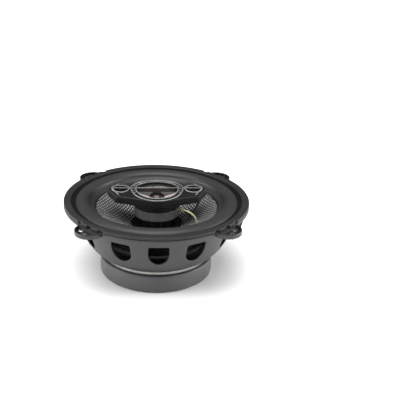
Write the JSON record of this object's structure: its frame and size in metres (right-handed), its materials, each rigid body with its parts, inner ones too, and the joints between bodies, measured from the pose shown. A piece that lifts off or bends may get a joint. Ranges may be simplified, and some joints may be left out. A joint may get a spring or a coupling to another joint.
{
  "type": "coaxial car speaker",
  "caption": "Round coaxial car speaker: pressed basket with windows and four ears, woven cone, rubber surround, bridge pod with midrange and dish tweeters, booted magnet.",
  "frame": {"origin": "centre of the mounting face (underside of the four ears), on the speaker's axis", "axes": "+Z out of the front, +X towards the electrical terminals, +Y completes a right-handed frame"},
  "size_m": [0.13, 0.13, 0.0625],
  "materials": {
    "basket_paint": "satin grey-black paint on pressed steel",
    "ring_rubber": "moulded rubber, fine matt grain",
    "surround_rubber": "satin butyl rubber",
    "cone_weave": "woven glass fibre, silver-grey crossings on black resin",
    "spider_cloth": "resin-stiffened cotton",
    "zinc_plate": "dull zinc plate",
    "bright_steel": "nickel plated",
    "ferrite": "ground ferrite",
    "boot_rubber": "satin moulded rubber",
    "former_paper": "amber film",
    "copper_wire": "enamelled copper",
    "brass_plate": "tinned brass",
    "pod_plastic": "fine-textured black ABS",
    "cup_steel": "satin grey plating",
    "silver_trim": "hot-stamped silver foil",
    "mid_copper": "metallised film, champagne copper",
    "mid_cloth": "black foam",
    "dome_film": "smoke grey film",
    "dish_metal": "spun foil",
    "lead_cream": "cream PVC",
    "lead_black": "black PVC",
    "capacitor_sleeve": "blue shrink sleeve"
  },
  "bodies": {
    "frame": {"basket": "basket_paint", "trim_ring": "ring_rubber", "surround": "surround_rubber", "spider_ring": "zinc_plate", "spider": "spider_cloth", "top_plate": "zinc_plate", "motor_rivets": "bright_steel", "magnet": "ferrite", "yoke": "zinc_plate", "magnet_boot": "boot_rubber", "pod_post": "cup_steel", "post_screw": "bright_steel", "mid_cup": "cup_steel", "mid_yoke": "zinc_plate", "mid_magnet": "ferrite", "mid_top_plate": "zinc_plate", "mid_frame": "pod_plastic", "mid_surround": "mid_cloth", "pod_housing": "pod_plastic", "pod_base": "pod_plastic", "pod_screws": "bright_steel", "pod_trim": "silver_trim", "side_cup_left": "pod_plastic", "side_cup_right": "pod_plastic", "side_dish_left": "dish_metal", "side_dish_right": "dish_metal", "side_piezo_left": "brass_plate", "side_piezo_right": "brass_plate", "terminal_block": "pod_plastic", "terminal_lugs": "brass_plate", "terminal_rivets": "bright_steel", "crossover_capacitor": "capacitor_sleeve", "tinsel_lead_wide": "copper_wire", "tinsel_lead_narrow": "copper_wire", "tweeter_lead_light": "lead_cream", "tweeter_lead_dark": "lead_black"},
    "cone_assembly": {"cone": "cone_weave", "cone_eyelets": "brass_plate", "voice_coil_former": "former_paper", "voice_coil_winding": "copper_wire"},
    "mid_assembly": {"mid_diaphragm": "mid_copper", "mid_dome": "dome_film", "mid_coil": "copper_wire"}
  },
  "joints": [
    {"name": "cone_slide", "type": "slide", "parent": "frame", "child": "cone_assembly", "axis": [0, 0, 1], "range_m": [-0.003, 0.003], "stiffness_N_per_m": 1700, "deforming": ["surround", "spider", "tinsel_lead_wide", "tinsel_lead_narrow", "tweeter_lead_light", "tweeter_lead_dark"]},
    {"name": "mid_slide", "type": "slide", "parent": "frame", "child": "mid_assembly", "axis": [0, 0, 1], "range_m": [-0.0003, 0.0003], "stiffness_N_per_m": 1500, "deforming": ["mid_surround"]}
  ]
}
